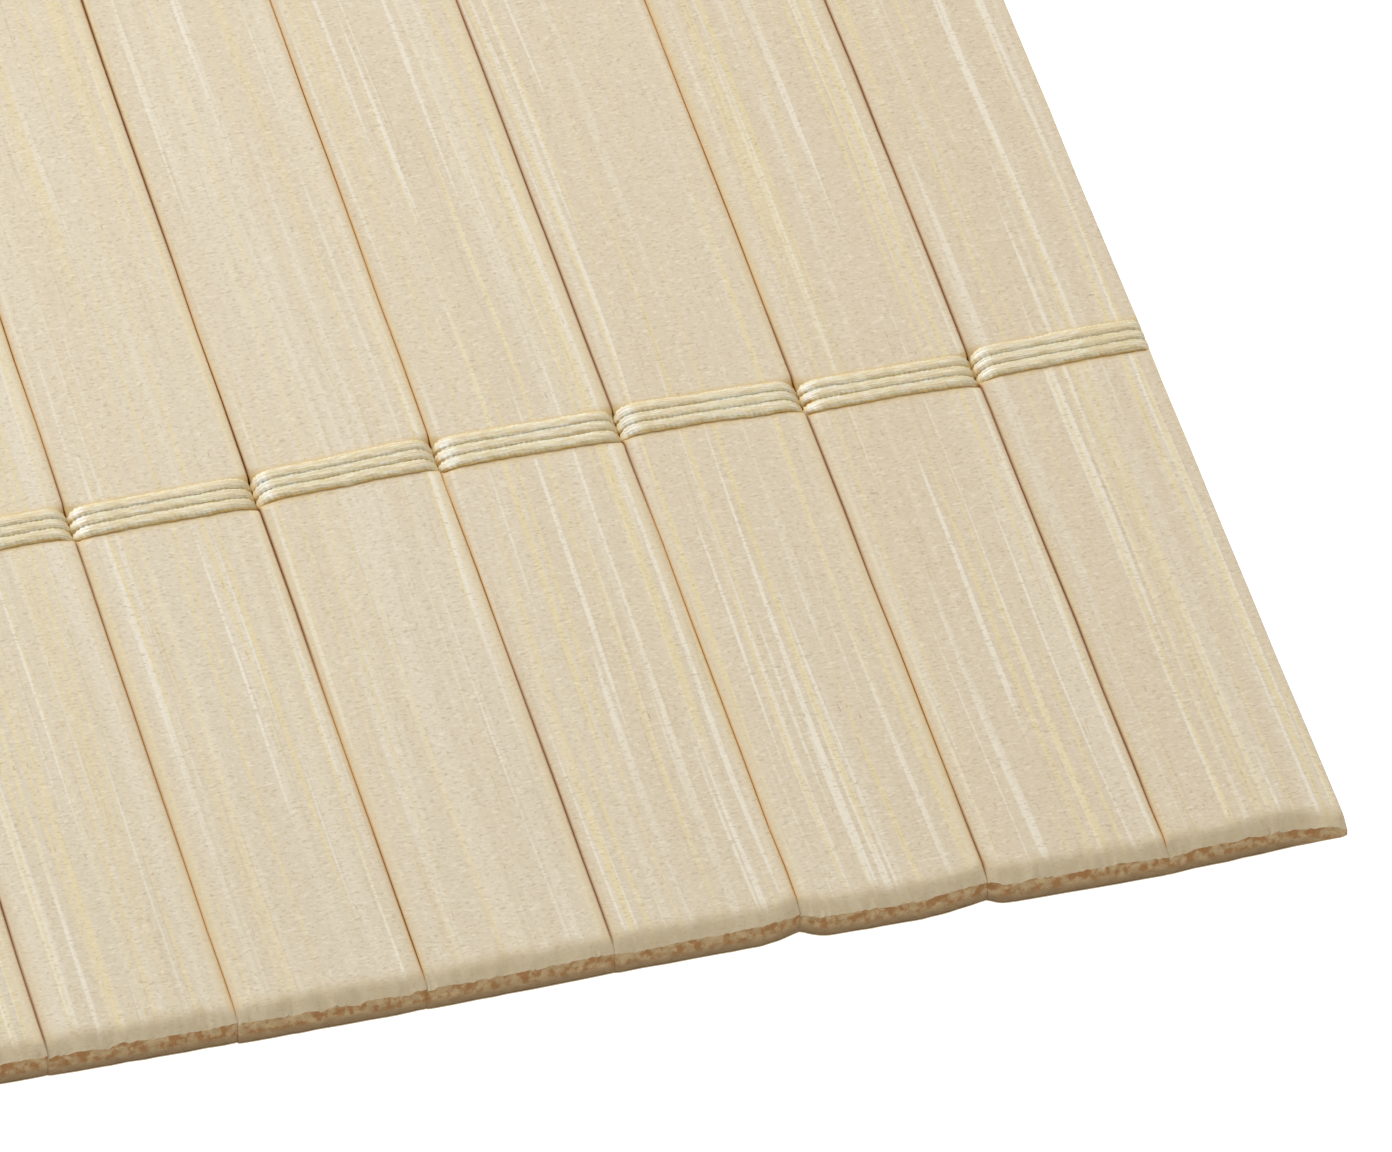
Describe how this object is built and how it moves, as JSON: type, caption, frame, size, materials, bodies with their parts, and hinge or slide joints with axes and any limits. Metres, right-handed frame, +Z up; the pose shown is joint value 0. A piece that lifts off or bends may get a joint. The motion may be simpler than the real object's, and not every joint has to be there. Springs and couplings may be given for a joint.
{
  "type": "bamboo placemat",
  "caption": "Flat rectangular placemat of bamboo slats laid side by side and lashed together by rows of cotton cord.",
  "frame": {"origin": "under the middle of the mat, on the surface it lies on", "axes": "+X across the slats along the cord rows, +Y along the slats with their front ends at -Y, +Z up"},
  "size_m": [0.4508, 0.3513, 0.0052],
  "materials": {
    "bamboo": "pale straw bamboo, finely sanded, dull satin, with fine lengthwise streaks",
    "cotton": "soft two-ply cotton cord, cream-yellow, matt with a faint sheen"
  },
  "bodies": {
    "root": {"slat_01": "bamboo", "slat_02": "bamboo", "slat_03": "bamboo", "slat_04": "bamboo", "slat_05": "bamboo", "slat_06": "bamboo", "slat_07": "bamboo", "slat_08": "bamboo", "slat_09": "bamboo", "slat_10": "bamboo", "slat_11": "bamboo", "slat_12": "bamboo", "slat_13": "bamboo", "slat_14": "bamboo", "slat_15": "bamboo", "slat_16": "bamboo", "slat_17": "bamboo", "slat_18": "bamboo", "slat_19": "bamboo", "slat_20": "bamboo", "slat_21": "bamboo", "slat_22": "bamboo", "slat_23": "bamboo", "slat_24": "bamboo", "slat_25": "bamboo", "slat_26": "bamboo", "cord_row_1": "cotton", "cord_row_2": "cotton", "cord_row_3": "cotton"}
  },
  "joints": []
}
